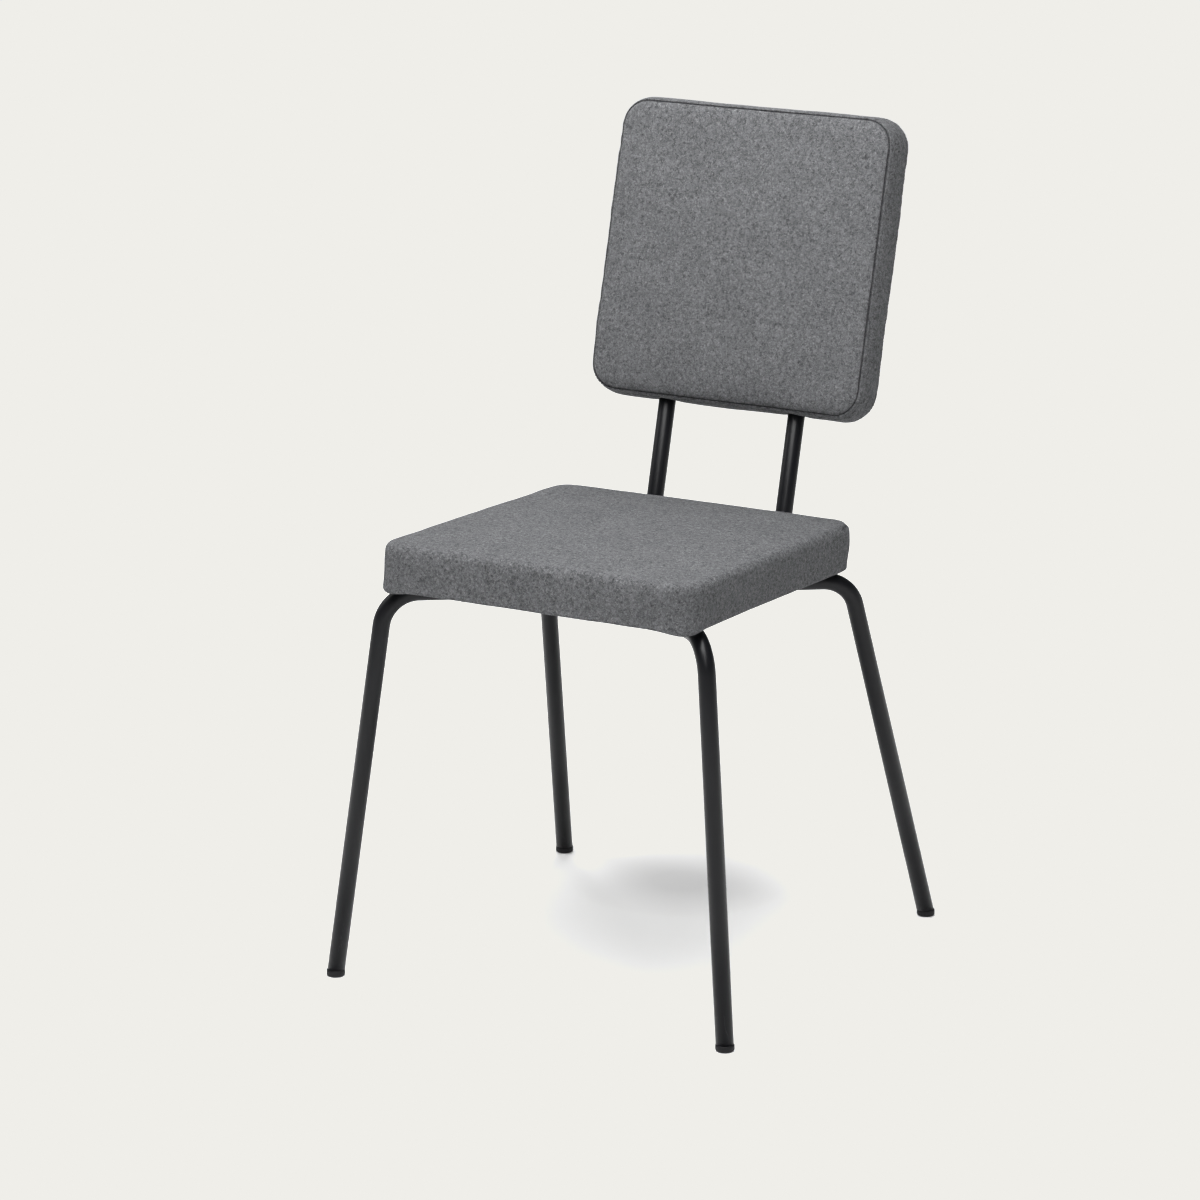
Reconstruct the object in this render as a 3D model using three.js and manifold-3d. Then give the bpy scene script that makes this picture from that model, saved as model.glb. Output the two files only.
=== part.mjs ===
// A dining chair: two square boxed cushions on a frame of bent steel tube.
//
// Millimetres, +Z up. The sitter faces -Y and +X is at the right of someone who looks at the front.
// The origin is on the floor, under the middle of the chair.
//
// The seat and the back are built alike, each in its own turned group. There x runs across the pad,
// y runs from its front (or lower) edge to its rear (or upper) edge, and z = 0 is the plane of its
// upholstered face, with the pad below it.

import * as THREE from 'three';
import { mergeVertices } from 'three/addons/utils/BufferGeometryUtils.js';
import Module from 'manifold-3d';

const GAP = 0.3; // left between pieces that touch

// Tube frame
const TUBE = { radius: 9, bore: 7.5, legBend: 38, uprightBend: 32, sides: 16, bendSteps: 6 };
const FRONT_FOOT = { x: 224.5, y: -233 };
const REAR_FOOT = { x: 220, y: 233 };
const FRONT_CORNER = { x: 181, y: 27 }; // where a leg's line meets its arm's line, in the seat's group
const REAR_CORNER = { x: 179.5, y: 344 };
const UPRIGHT = { x: 76, rise: 235 }; // rise: how far it runs up behind the back board

// Glides
const GLIDE = { radius: 9.5, height: 7, edge: 2.2, stem: 7.2, stemLength: 22 };

// Seat: the front edge of its face is at edgeY and edgeZ, and its rear is lower by the tilt
const SEAT = {
  edgeY: -222.5, edgeZ: 460, tilt: 2.5, widthFront: 355, widthRear: 349, length: 370, corner: 28,
  thickness: 47, crown: 6, crownPower: 3, topEdge: 9, bottomEdge: 3, board: 12, wrap: 27,
};
const DUST_COVER = { inset: 12, thickness: 0.7 };

// Back: the lower edge of its face is at edgeY and edgeZ, and it leans back by the lean
const BACK = {
  edgeY: 175.4, edgeZ: 537.4, lean: 15, width: 320, length: 318, corner: 34, thickness: 41,
  seamInset: 6.5, seamDrop: 4, crown: 13, crownPower: 8, rearCrown: 5,
  rearCrownPower: 3, board: 8, boardDrop: 8.5,
};

const COVER = 1.5; // thickness of the felt
const LINING = COVER + GAP; // how far the padding lies inside the covers
const BOARD_MARGIN = 2; // the boards are this much smaller than the foam all round
const SEAT_FASTENER = { along: 0.66, shank: 3, length: 30, head: 6, headHeight: 3.4 };
const BACK_FASTENER = { rows: [60, 190], shank: 2.5, length: 25, head: 5, headHeight: 2.2 };
const TEE_NUT = { wall: 1, flange: 8.5, flangeHeight: 1, barrel: 6.5 };

const DRILL_REACH = 12; // holes in a tube are drilled this far to each side of its centreline
const FLOOR_CUT = { width: 600, depth: 40 }; // trims the tubes level above the glides
const LEG_OVERRUN = 0.02; // share of a leg's length that it is drawn past the floor, to be trimmed

const SIDES = [['left', -1], ['right', 1]];
const SMALL_SIDES = 12; // facets round screws, nuts and their holes

// Materials

const paint = (color, roughness, metalness = 0) =>
  () => new THREE.MeshStandardMaterial({ color, roughness, metalness });
const finish = {
  powderCoat: paint(0x2b2c2f, 0.45, 0.3),
  plastic: paint(0x1e1e20, 0.6),
  felt: paint(0x757679, 0.95),
  foam: paint(0xd9cfa8, 0.95),
  plywood: paint(0xc19a68, 0.7),
  lining: paint(0x1c1c1d, 0.95),
  zinc: paint(0xa9adb1, 0.35, 0.9),
};

// Solids

const wasm = await Module();
wasm.setup();

function toSolid(geometry) {
  const bare = geometry.clone();
  bare.deleteAttribute('normal');
  bare.deleteAttribute('uv');
  const merged = mergeVertices(bare, 1e-4);
  const corners = merged.index.array;
  const kept = [];
  for (let i = 0; i < corners.length; i += 3) {
    const [a, b, c] = corners.slice(i, i + 3);
    if (a !== b && b !== c && c !== a) kept.push(a, b, c);
  }
  const triVerts = Uint32Array.from(kept);
  return new wasm.Manifold(
    new wasm.Mesh({ numProp: 3, vertProperties: merged.attributes.position.array, triVerts }));
}

function toGeometry(solid) {
  const { vertProperties, triVerts } = solid.getMesh();
  const geometry = new THREE.BufferGeometry();
  geometry.setAttribute('position', new THREE.BufferAttribute(vertProperties, 3));
  geometry.setIndex(new THREE.BufferAttribute(triVerts, 1));
  geometry.computeVertexNormals();
  return geometry;
}

function cut(geometry, cutters) {
  return toGeometry(cutters.reduce((solid, cutter) => solid.subtract(toSolid(cutter)), toSolid(geometry)));
}

function join(first, second) {
  return toGeometry(toSolid(first).add(toSolid(second)));
}

function add(parent, name, material, geometry) {
  const mesh = new THREE.Mesh(geometry, material());
  mesh.name = name;
  parent.add(mesh);
}

// A round rod between two points
function rod(from, to, radius, sides = SMALL_SIDES) {
  const along = to.clone().sub(from);
  const up = new THREE.Vector3(0, 1, 0);
  const turn = new THREE.Quaternion().setFromUnitVectors(up, along.clone().normalize());
  return new THREE.CylinderGeometry(radius, radius, along.length(), sides)
    .applyQuaternion(turn)
    .translate(...from.clone().addScaledVector(along, 0.5).toArray());
}

// A body turned about the z axis from a list of [radius, z]
function turned(profile, sides = SMALL_SIDES) {
  const points = profile.map(([radius, z]) => new THREE.Vector2(radius, z));
  return new THREE.LatheGeometry(points, sides).rotateX(Math.PI / 2);
}

// Bent tube

// A centreline of straight runs joined by round bends. Its stations are the ends of the runs and
// equal steps round each bend, so an extrusion along it has no needless sections.
class BentLine extends THREE.Curve {
  constructor(corners, bend) {
    super();
    const heading = corners.slice(1).map((corner, i) => corner.clone().sub(corners[i]).normalize());
    this.stations = [{ point: corners[0], tangent: heading[0] }];
    for (let i = 1; i < heading.length; i++) this.addBend(corners[i], heading[i - 1], heading[i], bend);
    this.stations.push({ point: corners.at(-1), tangent: heading.at(-1) });
    this.steps = this.stations.length - 1;
  }

  addBend(corner, before, after, bend) {
    const turn = before.angleTo(after);
    const axis = before.clone().cross(after).normalize();
    const start = corner.clone().addScaledVector(before, -bend * Math.tan(turn / 2));
    const towardsCentre = axis.clone().cross(before);
    const centre = start.clone().addScaledVector(towardsCentre, bend);
    for (let step = 0; step <= TUBE.bendSteps; step++) {
      const angle = turn * step / TUBE.bendSteps;
      const spoke = start.clone().sub(centre).applyAxisAngle(axis, angle);
      this.stations.push({ point: spoke.add(centre), tangent: before.clone().applyAxisAngle(axis, angle) });
    }
  }

  getPointAt(u, target = new THREE.Vector3()) {
    return target.copy(this.stations[Math.round(u * this.steps)].point);
  }

  getTangentAt(u, target = new THREE.Vector3()) {
    return target.copy(this.stations[Math.round(u * this.steps)].tangent);
  }
}

function circle(radius, sides) {
  return Array.from({ length: sides }, (_, i) => {
    const angle = 2 * Math.PI * i / sides;
    return new THREE.Vector2(radius * Math.cos(angle), radius * Math.sin(angle));
  });
}

function bentTube(corners, bend) {
  const section = new THREE.Shape(circle(TUBE.radius, TUBE.sides));
  section.holes.push(new THREE.Path(circle(TUBE.bore, TUBE.sides)));
  const extrudePath = new BentLine(corners, bend);
  return new THREE.ExtrudeGeometry(section, { steps: extrudePath.steps, extrudePath });
}

// Square pads

const CORNER_STEPS = 4;
const SMALLEST_CORNER = 6; // radius that the corners of the inner rings keep
const RING_LIMIT = 60; // rings further in than this shrink towards the middle
const FACE_RINGS = [1, 0.5, 0.25, 0.12, 0.05, 0]; // shares of the way from a face's edge to its middle

// The pad's rounded outline, counter-clockwise, drawn in from its edge by the inset. At an inset
// of half the width the ring has shrunk to the pad's middle.
function outline(pad, inset) {
  const width = pad.width ?? (pad.widthFront + pad.widthRear) / 2;
  const taper = pad.width ? 0 : (pad.widthFront - pad.widthRear) / (2 * width);
  const drawn = Math.min(inset, RING_LIMIT);
  const shrink = (width / 2 - inset) / (width / 2 - drawn);
  const radius = Math.max(pad.corner - drawn, SMALLEST_CORNER);
  const points = [];
  for (let i = 0; i < 4; i++) {
    const [sx, sy] = [[1, -1], [1, 1], [-1, 1], [-1, -1]][i];
    for (let step = 0; step <= CORNER_STEPS; step++) {
      const angle = Math.PI / 2 * (i - 1 + step / CORNER_STEPS);
      const x = shrink * (sx * (width / 2 - drawn - radius) + radius * Math.cos(angle));
      const y = shrink * (sy * (pad.length / 2 - drawn - radius) + radius * Math.sin(angle));
      points.push(new THREE.Vector2(x * (1 - taper * 2 * y / pad.length), y + pad.length / 2));
    }
  }
  return points;
}

// A closed body whose half-section is a list of [inset, z] that runs outward over its top and back
// inward under it. It is a lathe's turned body with every ring made square: the ring at each inset
// follows the pad's outline there.
function squareTurned(pad, profile) {
  const upward = [...profile].reverse();
  const rings = upward.map(([inset]) => outline(pad, inset));
  const points = upward.map(([inset, z]) => new THREE.Vector2(pad.length - inset, z));
  const geometry = new THREE.LatheGeometry(points, rings[0].length);
  const { position } = geometry.attributes;
  for (let i = 0; i < position.count; i++) {
    const ring = rings[i % rings.length];
    const { x, y } = ring[Math.floor(i / rings.length) % ring.length];
    position.setXYZ(i, x, y, points[i % points.length].y);
  }
  return geometry;
}

// A flat sheet or board of the pad's outline
function flatPiece(pad, inset, bottom, top) {
  const shape = new THREE.Shape(outline(pad, inset));
  return new THREE.ExtrudeGeometry(shape, { depth: top - bottom, bevelEnabled: false })
    .translate(0, 0, bottom);
}

// Points [inset, z] of a round edge, from the angle first to the angle last, both in degrees, where
// 0 points out of the pad's side and 90 out of its face
function roundEdge(inset, z, radius, first, last, steps) {
  return Array.from({ length: steps + 1 }, (_, i) => {
    const angle = THREE.MathUtils.degToRad(first + (last - first) * i / steps);
    return [inset - radius * Math.cos(angle), z + radius * Math.sin(angle)];
  });
}

// Points of a crowned face from the pad's middle out to edgeInset, where it stands at edgeZ
function crownedFace(pad, edgeInset, edgeZ, crown, power) {
  const half = (pad.width ?? (pad.widthFront + pad.widthRear) / 2) / 2;
  return FACE_RINGS.map((t) =>
    [edgeInset + t * (half - edgeInset), edgeZ + crown * (1 - (1 - t) ** power)]);
}

// The profile moved into the pad by the distance. The profile runs outward over the face.
function movedIn(profile, distance) {
  return profile.map(([inset, z], i) => {
    const [fromInset, fromZ] = profile[Math.max(i - 1, 0)];
    const [toInset, toZ] = profile[Math.min(i + 1, profile.length - 1)];
    const across = fromInset - toInset;
    const drop = toZ - fromZ;
    const length = Math.hypot(across, drop);
    if (i === 0) return [inset, z - distance];
    return [inset - distance * drop / length, z - distance * across / length];
  });
}

const shell = (profile, thickness) => [...profile, ...movedIn(profile, thickness).reverse()];

// Fasteners, along z with the screw's head at the bottom

function screw({ shank, length, head, headHeight }) {
  return turned([[0, -headHeight], [head - 1, -headHeight], [head, 1 - headHeight], [head, 0],
    [shank, 0], [shank, length - 1], [shank - 1, length], [0, length]]);
}

function teeNut(shank) {
  const bore = shank + GAP;
  const { wall, flange, flangeHeight, barrel } = TEE_NUT;
  return turned([[bore, -barrel], [bore + wall, -barrel], [bore + wall, 0], [flange, 0],
    [flange, flangeHeight], [bore, flangeHeight], [bore, -barrel]]);
}

function hole(x, y, bottom, top, radius) {
  return rod(new THREE.Vector3(x, y, bottom), new THREE.Vector3(x, y, top), radius);
}

// Layout

const chair = new THREE.Group();

function padGroup({ edgeY, edgeZ }, turn) {
  const group = new THREE.Group();
  group.position.set(0, edgeY, edgeZ);
  group.rotation.x = THREE.MathUtils.degToRad(turn);
  group.updateMatrix();
  chair.add(group);
  return group;
}
const seat = padGroup(SEAT, -SEAT.tilt);
const back = padGroup(BACK, 90 - BACK.lean);
const onSeat = (x, y, z) => new THREE.Vector3(x, y, z).applyMatrix4(seat.matrix);
const onBack = (x, y, z) => new THREE.Vector3(x, y, z).applyMatrix4(back.matrix);

const dustCoverTop = -SEAT.thickness - GAP;
const armZ = dustCoverTop - DUST_COVER.thickness - GAP - TUBE.radius; // arms' centreline, in the seat
const boardTop = -SEAT.thickness + COVER + GAP + SEAT.board;
const uprightZ = -BACK.boardDrop - BACK.board - GAP - TUBE.radius; // uprights' centreline, in the back

// The four arms lie on the lines from the crossing to the corners, and the two diagonals are straight
const crossingY = FRONT_CORNER.y
  + (REAR_CORNER.y - FRONT_CORNER.y) * FRONT_CORNER.x / (FRONT_CORNER.x + REAR_CORNER.x);
const alongArm = ({ x, y }, side, share) => [side * x * share, crossingY + (y - crossingY) * share];
const seatScrews = [['front', FRONT_CORNER], ['rear', REAR_CORNER]].flatMap(([end, corner]) =>
  SIDES.map(([name, side]) => [`${end}_${name}`, ...alongArm(corner, side, SEAT_FASTENER.along)]));
const backScrews = BACK_FASTENER.rows.flatMap((y, row) =>
  SIDES.map(([name, side]) => [`${['lower', 'upper'][row]}_${name}`, side * UPRIGHT.x, y]));

// Frame

function leg(foot, corner, side) {
  const top = onSeat(side * corner.x, corner.y, armZ);
  const floor = new THREE.Vector3(side * foot.x, foot.y, 0);
  const below = floor.clone().addScaledVector(top.clone().sub(floor), -LEG_OVERRUN);
  return { top, floor, below, axis: top.clone().sub(floor).normalize() };
}
const frontLeft = leg(FRONT_FOOT, FRONT_CORNER, -1);
const frontRight = leg(FRONT_FOOT, FRONT_CORNER, 1);
const rearLeft = leg(REAR_FOOT, REAR_CORNER, -1);
const rearRight = leg(REAR_FOOT, REAR_CORNER, 1);
const crossing = onSeat(0, crossingY, armZ);

const floorCut = new THREE.BoxGeometry(FLOOR_CUT.width, FLOOR_CUT.width, FLOOR_CUT.depth)
  .translate(0, 0, GLIDE.height + GAP - FLOOR_CUT.depth / 2);
const armScrewHoles = seatScrews.map(([, x, y]) =>
  rod(onSeat(x, y, armZ - DRILL_REACH), onSeat(x, y, armZ + DRILL_REACH), SEAT_FASTENER.shank + GAP));
const throughArm = rod(frontLeft.top, rearRight.top, TUBE.radius + GAP, TUBE.sides);
const splitArm = rod(frontRight.top, rearLeft.top, TUBE.radius + GAP, TUBE.sides);

add(chair, 'leg_tube_front_left_to_rear_right', finish.powderCoat,
  cut(bentTube([frontLeft.below, frontLeft.top, rearRight.top, rearRight.below], TUBE.legBend),
    [floorCut, ...armScrewHoles]));
for (const [name, { top, below }] of [['front_right', frontRight], ['rear_left', rearLeft]]) {
  add(chair, `leg_tube_${name}`, finish.powderCoat,
    cut(bentTube([crossing, top, below], TUBE.legBend), [floorCut, throughArm, ...armScrewHoles]));
}

// Each upright starts on the rear arm that its run meets, turns up behind the seat and enters the back
function uprightCorner(x) {
  const height = (y) => seat.worldToLocal(onBack(x, y, uprightZ)).z;
  const y = (armZ - height(0)) / (height(1) - height(0));
  return onBack(x, y, uprightZ);
}
seat.updateMatrixWorld();
for (const [name, side] of SIDES) {
  const x = side * UPRIGHT.x;
  const [, startY] = alongArm(REAR_CORNER, side, UPRIGHT.x / REAR_CORNER.x);
  const line = [onSeat(x, startY, armZ), uprightCorner(x), onBack(x, UPRIGHT.rise, uprightZ)];
  const screwHoles = backScrews.map(([, holeX, y]) => rod(
    onBack(holeX, y, uprightZ - DRILL_REACH), onBack(holeX, y, uprightZ + DRILL_REACH),
    BACK_FASTENER.shank + GAP));
  add(chair, `upright_tube_${name}`, finish.powderCoat,
    cut(bentTube(line, TUBE.uprightBend), [side > 0 ? throughArm : splitArm, ...screwHoles]));
}

// A glide is an upright collar under the tube with a stem up its bore
function glide({ floor, axis }) {
  const { radius, height, edge, stem, stemLength } = GLIDE;
  const bottomEdge = [-90, -60, -30, 0].map((degrees) => {
    const angle = THREE.MathUtils.degToRad(degrees);
    return [radius - edge + edge * Math.cos(angle), edge + edge * Math.sin(angle)];
  });
  const atHeight = (z) => floor.clone().addScaledVector(axis, z / axis.z);
  const centre = atHeight(height / 2);
  const collar = turned([[0, 0], ...bottomEdge, [radius, height], [0, height]], TUBE.sides)
    .translate(centre.x, centre.y, 0);
  return join(collar, rod(atHeight(height / 2), atHeight(stemLength), stem, TUBE.sides));
}
const glides = { front_left: frontLeft, front_right: frontRight, rear_left: rearLeft, rear_right: rearRight };
for (const [name, place] of Object.entries(glides)) {
  add(chair, `glide_${name}`, finish.plastic, glide(place));
}

// Seat

const seatFace = crownedFace(SEAT, SEAT.topEdge, 0, SEAT.crown, SEAT.crownPower);
const seatTopEdge = roundEdge(SEAT.topEdge, -SEAT.topEdge, SEAT.topEdge, 90, 0, 4).slice(1);
const seatBottomEdge = roundEdge(
  SEAT.bottomEdge, SEAT.bottomEdge - SEAT.thickness, SEAT.bottomEdge, 0, -90, 3);
const seatOuter = [...seatFace, ...seatTopEdge, ...seatBottomEdge, [SEAT.wrap, -SEAT.thickness]];
const foamTop = movedIn([...seatFace, ...seatTopEdge], LINING);
const seatHalf = (SEAT.widthFront + SEAT.widthRear) / 4;
const seatSpots = seatScrews.map(([, x, y]) => [x, y]);
const nutPockets = seatSpots.map(([x, y]) =>
  hole(x, y, boardTop, boardTop + TEE_NUT.flangeHeight + 3 * GAP, TEE_NUT.flange + GAP));
const boardHoles = seatSpots.map(([x, y]) =>
  hole(x, y, -SEAT.thickness, 0, SEAT_FASTENER.shank + TEE_NUT.wall + 2 * GAP));
const dustCoverHoles = seatSpots.map(([x, y]) =>
  hole(x, y, armZ, dustCoverTop + 1, SEAT_FASTENER.shank + GAP));

add(seat, 'seat_cover', finish.felt, squareTurned(SEAT, shell(seatOuter, COVER)));
add(seat, 'seat_foam', finish.foam,
  cut(squareTurned(SEAT, [...foamTop, [LINING, boardTop + GAP], [seatHalf, boardTop + GAP]]), nutPockets));
add(seat, 'seat_board', finish.plywood,
  cut(flatPiece(SEAT, LINING + BOARD_MARGIN, boardTop - SEAT.board, boardTop), boardHoles));
add(seat, 'seat_dust_cover', finish.lining,
  cut(flatPiece(SEAT, DUST_COVER.inset, dustCoverTop - DUST_COVER.thickness, dustCoverTop), dustCoverHoles));
for (const [name, x, y] of seatScrews) {
  add(seat, `seat_screw_${name}`, finish.zinc,
    screw(SEAT_FASTENER).translate(x, y, armZ - TUBE.radius - GAP));
  add(seat, `seat_tee_nut_${name}`, finish.zinc,
    teeNut(SEAT_FASTENER.shank).translate(x, y, boardTop + GAP));
}

// Back

const frontSeam = [BACK.seamInset, -BACK.seamDrop];
const rearSeam = [BACK.seamInset, BACK.seamDrop - BACK.thickness];
const frontFace = crownedFace(BACK, ...frontSeam, BACK.crown, BACK.crownPower);
const borderEdge = [[5.2, -4.5], [3.2, -5.4], [1, -8.6], [0, -13]]; // from beside the front seam
const border = [...borderEdge, ...borderEdge.map(([inset, z]) => [inset, -z - BACK.thickness]).reverse()];
const rearFace = crownedFace(BACK, ...rearSeam, -BACK.rearCrown, BACK.rearCrownPower);
const boardFront = -BACK.boardDrop;
const boardRear = boardFront - BACK.board;
const backHalf = BACK.width / 2;

const tubeGrooves = SIDES.map(([, side]) => rod(
  new THREE.Vector3(side * UPRIGHT.x, -TUBE.radius, uprightZ),
  new THREE.Vector3(side * UPRIGHT.x, UPRIGHT.rise + GAP, uprightZ), TUBE.radius + GAP, TUBE.sides));
const backHeadZ = uprightZ - TUBE.radius - GAP; // where the screws' heads bear on the uprights
const headPockets = backScrews.map(([, x, y]) =>
  hole(x, y, backHeadZ - BACK_FASTENER.headHeight - GAP, boardRear, BACK_FASTENER.head + GAP));
const backNutPockets = backScrews.map(([, x, y]) =>
  hole(x, y, boardFront, boardFront + TEE_NUT.flangeHeight + 3 * GAP, TEE_NUT.flange + GAP));
const backBoardHoles = backScrews.map(([, x, y]) =>
  hole(x, y, boardRear - 1, boardFront + 1, BACK_FASTENER.shank + TEE_NUT.wall + 2 * GAP));

const frontLining = movedIn(frontFace, LINING);
const borderLining = movedIn(border, LINING);
const rearLining = rearFace.map(([inset, z]) => [inset, z + LINING]);

add(back, 'back_cover_front_panel', finish.felt, squareTurned(BACK, shell(frontFace, COVER)));
add(back, 'back_cover_border', finish.felt,
  cut(squareTurned(BACK, [...shell(border, COVER), border[0]]), tubeGrooves));
add(back, 'back_cover_rear_panel', finish.felt, squareTurned(BACK,
  [...rearFace.map(([inset, z]) => [inset, z + COVER]), ...[...rearFace].reverse()]));
add(back, 'back_foam_front', finish.foam, cut(squareTurned(BACK,
  [...frontLining, borderLining[1], [LINING + BOARD_MARGIN, boardFront + GAP],
    [backHalf, boardFront + GAP]]), backNutPockets));
add(back, 'back_board', finish.plywood,
  cut(flatPiece(BACK, LINING + BOARD_MARGIN, boardRear, boardFront), backBoardHoles));
add(back, 'back_foam_rear', finish.foam, cut(squareTurned(BACK,
  [[backHalf, boardRear - GAP], [LINING, boardRear - GAP], ...borderLining.slice(4, -1),
    ...[...rearLining].reverse()]), [...tubeGrooves, ...headPockets]));
for (const [name, x, y] of backScrews) {
  add(back, `back_screw_${name}`, finish.zinc,
    screw(BACK_FASTENER).translate(x, y, backHeadZ));
  add(back, `back_tee_nut_${name}`, finish.zinc,
    teeNut(BACK_FASTENER.shank).translate(x, y, boardFront + GAP));
}

// Put the origin under the middle of the chair
const box = new THREE.Box3().setFromObject(chair, true);
chair.position.y = -(box.min.y + box.max.y) / 2;

export default chair;
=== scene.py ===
"""A dining chair: two felt cushions on a frame of bent steel tube, in a plain pale studio.

Each cushion is drawn in its own axes, which come from the flat board inside it: x across, y from its
front (or lower) edge to its rear (or upper) edge, and z out of its upholstered face.
"""
import math

import bmesh
import bpy
import numpy as np
from mathutils import Matrix, Vector, noise
from mathutils.bvhtree import BVHTree


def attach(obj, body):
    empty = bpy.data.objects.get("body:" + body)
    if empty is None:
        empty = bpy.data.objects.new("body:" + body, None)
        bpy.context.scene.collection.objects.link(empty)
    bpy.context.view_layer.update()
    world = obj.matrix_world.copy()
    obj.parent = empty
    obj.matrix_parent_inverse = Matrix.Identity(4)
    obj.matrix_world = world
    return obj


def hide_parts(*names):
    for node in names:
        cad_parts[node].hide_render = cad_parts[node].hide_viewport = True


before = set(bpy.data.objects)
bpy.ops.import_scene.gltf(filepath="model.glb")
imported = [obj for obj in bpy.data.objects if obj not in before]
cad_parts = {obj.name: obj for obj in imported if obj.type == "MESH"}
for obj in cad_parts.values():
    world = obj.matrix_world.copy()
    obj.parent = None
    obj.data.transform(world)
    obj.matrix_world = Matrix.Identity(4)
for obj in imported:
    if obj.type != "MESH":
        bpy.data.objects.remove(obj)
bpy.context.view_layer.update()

MM = 0.001
BODY = "root"
ENDS = ("front", "rear")
SIDES = (("left", -1), ("right", 1))

# Camera
CAMERA_AZIMUTH, CAMERA_ELEVATION = 29.18, 15.25
CAMERA_DISTANCE = 4.9215
CAMERA_AIM = Vector((-0.0249, -0.0616, 0.3766))
CAMERA_LENS = 145.53

# Tubes. The corners are where the straight runs meet, in the seat's axes, from its front edge.
TUBE_RADIUS = 9 * MM
LEG_BEND, UPRIGHT_BEND = 38 * MM, 32 * MM
FRONT_CORNER, REAR_CORNER = (181 * MM, 27 * MM), (179.5 * MM, 344 * MM)
UPRIGHT_RISE = 235 * MM  # how far an upright runs up behind the back board
TUBE_FACETS, BEND_STEPS = 40, 16
WELD_RADIUS = 2.1 * MM
GLIDE = {"radius": 9.5 * MM, "height": 7 * MM, "edge": 2.2 * MM, "gap": 0.15 * MM}

# Seat cushion
SEAT_SIZE = {"corner": 28 * MM, "crown": 6 * MM, "power": 3, "edge": 9 * MM, "low_edge": 3 * MM,
             "flatter": 1.5 * MM, "rim_drop": 1.05 * MM, "bulge": 0.9 * MM, "bulge_width": 13 * MM}
SEAT_FACE_RINGS = (54, 47, 41, 35, 30, 25, 21, 17, 14, 11.3)  # in mm from its side
START_INSET = 0.2 * MM  # how much further in all above the low edge is drawn, before it swells
# The slot round the board: how far it clears the board, its cut corners, and how far in it opens
SLOT = {"side": 0.4 * MM, "below": 0.2 * MM, "above": 1.7 * MM, "cut": 0.6 * MM, "mouth": 27 * MM}
RIM_HEIGHT, RIM_INSET = (9 * MM, 1 * MM), (13 * MM, 8 * MM)  # where the lowered rim begins and is full
LOW_CORNERS = {"height": 24 * MM, "inset": 8 * MM, "reach": 19 * MM}
LOW_CORNER_MOVES = {"front": (1.5 * MM, 2.3 * MM), "rear": (1.0 * MM, -1.8 * MM)}  # down, and out
# A fold's depth and width, and how dark the painted shade down in it is
FOLD = {"depth": 1.5 * MM, "width": 1.9 * MM, "shade": 0.85}

# Back cushion
BACK_SIZE = {"corner": 33 * MM, "crown": 3.0 * MM, "power": 2.5, "flatter": 0.8 * MM,
             "rear_crown": 0.3 * MM, "puff": (1.1 * MM, -0.8 * MM), "sag": 0.8 * MM,
             "belly": 0.5 * MM, "droop": 3.8 * MM, "droop_height": 38 * MM}
# The back's section, in mm: how far in from its side, and how far behind the crown of its face
PANEL_ROLL = [(26, -3.0), (21.5, -3.05), (18, -3.2), (15, -3.5), (12.2, -4.05), (10.0, -4.8),
              (8.4, -5.6), (7.3, -6.4), (6.6, -7.2), (6.3, -8.1)]
BORDER = [(6.1, -8.4), (5.5, -8.1), (4.8, -8.3), (4.0, -9.2), (3.2, -11), (2.4, -13.6), (1.5, -17.5),
          (0.7, -23), (0.2, -29), (0, -35), (0, -39), (0.4, -42), (1.3, -44.4), (3.1, -45.9),
          (5.2, -46.4)]
REAR_ROLL = [(5.5, -47.2), (6.8, -48.3), (9.4, -49.0), (13.5, -49.4), (19.5, -49.7), (28, -49.9)]
# Where its rings lie, in mm: past each seam, and in from its side on the two faces
SEAM_RINGS = [-21, -18, -15.2, -12.8, -10.6, -8.6, -6.9, -5.4, -4.2, -3.2, -2.4, -1.7, -1.2, -0.8, -0.4,
              0, 0.4, 0.8, 1.2, 1.7, 2.3, 3.0, 3.8, 4.7, 5.7, 6.6, 7.2, 7.6, 8.0, 8.4, 8.8, 9.6, 11,
              13.2, 16]
BACK_FACE_RINGS, BACK_REAR_RINGS = (66, 59, 52, 46, 40, 35), (31, 36, 42, 49, 57)
TOPSTITCH = 6.2 * MM  # from each seam
# The felt near a seam, in mm: how far past the seam, over what width, and how far out, or how dark a
# painted shade is in the seam and at the topstitch
SEAM_SHAPE = [(2.2, 1.0, 0.15), (0, 0.9, -1.0), (TOPSTITCH / MM, 0.9, -0.45)]
SEAM_SHADE = [(0, 1.2, 0.6), (TOPSTITCH / MM, 0.8, 0.28)]
PUCKER = {"length": 8 * MM, "place": 4.5, "width": 5.0, "depth": 0.38}
# A dent round each upright where it comes through the border, with a ring of painted shade: depth, width,
# how dark, and the shade's width
TUBE_DENT = {"depth": 1.7 * MM, "width": 5 * MM, "shade": 0.8, "shade_width": 1.6 * MM}

# Felt
SIDE_CELLS = 68  # cells along each side of a cushion
AROUND = 4 * SIDE_CELLS
# The last of these shades is painted shade, for the felt's seams, folds and dents.
FELT_SHADES = {"dark": (0.023, 0.0235, 0.0254), "pale": (0.1125, 0.1144, 0.1192),
               "fleck": (0.0134, 0.0139, 0.0153), "fibre": (0.239, 0.241, 0.2465),
               "painted_shade": (0.008, 0.008, 0.009)}
CLOTH = {"quality": 6, "mass": 0.35, "tension_stiffness": 25, "compression_stiffness": 25,
         "shear_stiffness": 8, "bending_stiffness": 2.5, "use_pressure": True,
         "uniform_pressure_force": 4.0}
CLOTH_FRAMES = 20
SWELL_CAP = 2.6 * MM  # no point moves further than this
# How firmly felt is held as it swells: at an edge or seam, how much less far off, and from near to far
SEAT_GRIP = (0.94, 0.7, 8 * MM, 50 * MM)
BACK_GRIP = (0.96, 0.6, 9 * MM, 45 * MM)
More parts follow.
